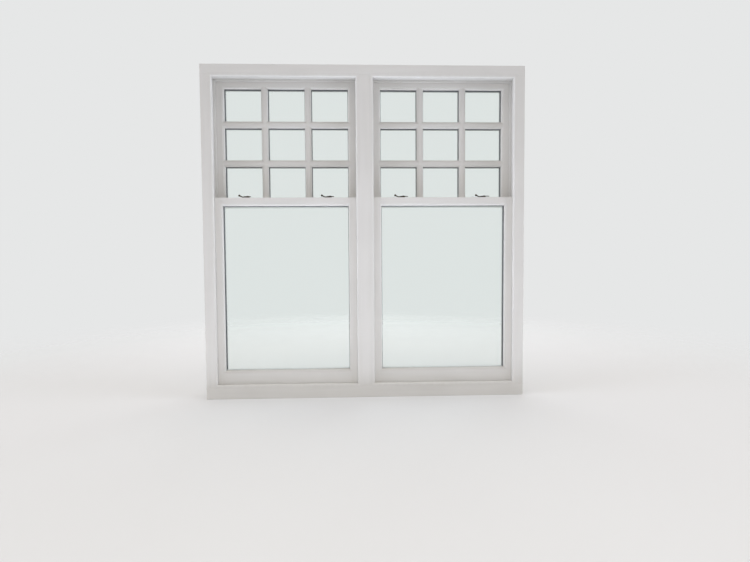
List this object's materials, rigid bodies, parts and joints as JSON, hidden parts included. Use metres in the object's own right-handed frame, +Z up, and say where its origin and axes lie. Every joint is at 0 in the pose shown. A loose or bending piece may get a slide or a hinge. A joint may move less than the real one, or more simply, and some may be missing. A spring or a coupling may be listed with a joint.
{
  "type": "sash window",
  "caption": "Timber vertical sliding sash window: side-by-side lights in one frame, each a small-paned upper sash over a plain lower sash, with brass fasteners.",
  "frame": {"origin": "underside of the sill, half way along the frame and half way through its depth", "axes": "+X along the frame (right from the room), +Y from the room to the outside, +Z up"},
  "size_m": [1.688, 0.201, 1.7423],
  "materials": {
    "painted_timber": "satin off-white paint",
    "clear_glass": "clear float",
    "edge_spacer": "dark warm-edge spacer and sealant",
    "balance_tube": "white tube",
    "plated_steel": "zinc plated",
    "aged_brass": "aged, rubbed bright on edges",
    "pile_seal": "woven pile"
  },
  "bodies": {
    "frame": {"frame_sill": "painted_timber", "frame_head": "painted_timber", "jamb_left": "painted_timber", "jamb_right": "painted_timber", "mullion": "painted_timber", "left_staff_beads": "painted_timber", "left_parting_beads": "painted_timber", "left_outer_stops": "painted_timber", "left_balance_tubes": "balance_tube", "right_staff_beads": "painted_timber", "right_parting_beads": "painted_timber", "right_outer_stops": "painted_timber", "right_balance_tubes": "balance_tube", "draught_seals": "pile_seal"},
    "left_lower_sash": {"left_lower_stile_left": "painted_timber", "left_lower_stile_right": "painted_timber", "left_lower_meeting_rail": "painted_timber", "left_lower_bottom_rail": "painted_timber", "left_lower_glazing_beads": "painted_timber", "left_lower_panes": "clear_glass", "left_lower_spacer": "edge_spacer", "left_lower_balance_rods": "plated_steel", "left_lower_fastener_bases": "aged_brass", "left_lower_meeting_seal": "pile_seal"},
    "left_upper_sash": {"left_upper_stile_left": "painted_timber", "left_upper_stile_right": "painted_timber", "left_upper_top_rail": "painted_timber", "left_upper_meeting_rail": "painted_timber", "left_upper_vertical_bars": "painted_timber", "left_upper_horizontal_bars": "painted_timber", "left_upper_glazing_beads": "painted_timber", "left_upper_panes": "clear_glass", "left_upper_spacers": "edge_spacer", "left_upper_balance_rods": "plated_steel", "left_upper_keepers": "aged_brass"},
    "left_lever_1": {"left_lever_1": "aged_brass"},
    "left_lever_2": {"left_lever_2": "aged_brass"},
    "right_lower_sash": {"right_lower_stile_left": "painted_timber", "right_lower_stile_right": "painted_timber", "right_lower_meeting_rail": "painted_timber", "right_lower_bottom_rail": "painted_timber", "right_lower_glazing_beads": "painted_timber", "right_lower_panes": "clear_glass", "right_lower_spacer": "edge_spacer", "right_lower_balance_rods": "plated_steel", "right_lower_fastener_bases": "aged_brass", "right_lower_meeting_seal": "pile_seal"},
    "right_upper_sash": {"right_upper_stile_left": "painted_timber", "right_upper_stile_right": "painted_timber", "right_upper_top_rail": "painted_timber", "right_upper_meeting_rail": "painted_timber", "right_upper_vertical_bars": "painted_timber", "right_upper_horizontal_bars": "painted_timber", "right_upper_glazing_beads": "painted_timber", "right_upper_panes": "clear_glass", "right_upper_spacers": "edge_spacer", "right_upper_balance_rods": "plated_steel", "right_upper_keepers": "aged_brass"},
    "right_lever_1": {"right_lever_1": "aged_brass"},
    "right_lever_2": {"right_lever_2": "aged_brass"}
  },
  "joints": [
    {"name": "left_lower_slide", "type": "slide", "parent": "frame", "child": "left_lower_sash", "axis": [0, 0, 1], "range_m": [0, 0.59]},
    {"name": "left_upper_slide", "type": "slide", "parent": "frame", "child": "left_upper_sash", "axis": [0, 0, -1], "range_m": [0, 0.56]},
    {"name": "left_lever_turn_1", "type": "hinge", "parent": "left_lower_sash", "child": "left_lever_1", "pos_m": [-0.6235, -0.0155, 1.0693], "axis": [0, 0, -1], "range_deg": [-180, 0]},
    {"name": "left_lever_turn_2", "type": "hinge", "parent": "left_lower_sash", "child": "left_lever_2", "pos_m": [-0.1855, -0.0155, 1.0693], "axis": [0, 0, -1], "range_deg": [-180, 0]},
    {"name": "right_lower_slide", "type": "slide", "parent": "frame", "child": "right_lower_sash", "axis": [0, 0, 1], "range_m": [0, 0.59]},
    {"name": "right_upper_slide", "type": "slide", "parent": "frame", "child": "right_upper_sash", "axis": [0, 0, -1], "range_m": [0, 0.56]},
    {"name": "right_lever_turn_1", "type": "hinge", "parent": "right_lower_sash", "child": "right_lever_1", "pos_m": [0.2085, -0.0155, 1.0693], "axis": [0, 0, -1], "range_deg": [-180, 0]},
    {"name": "right_lever_turn_2", "type": "hinge", "parent": "right_lower_sash", "child": "right_lever_2", "pos_m": [0.6465, -0.0155, 1.0693], "axis": [0, 0, -1], "range_deg": [-180, 0]}
  ]
}
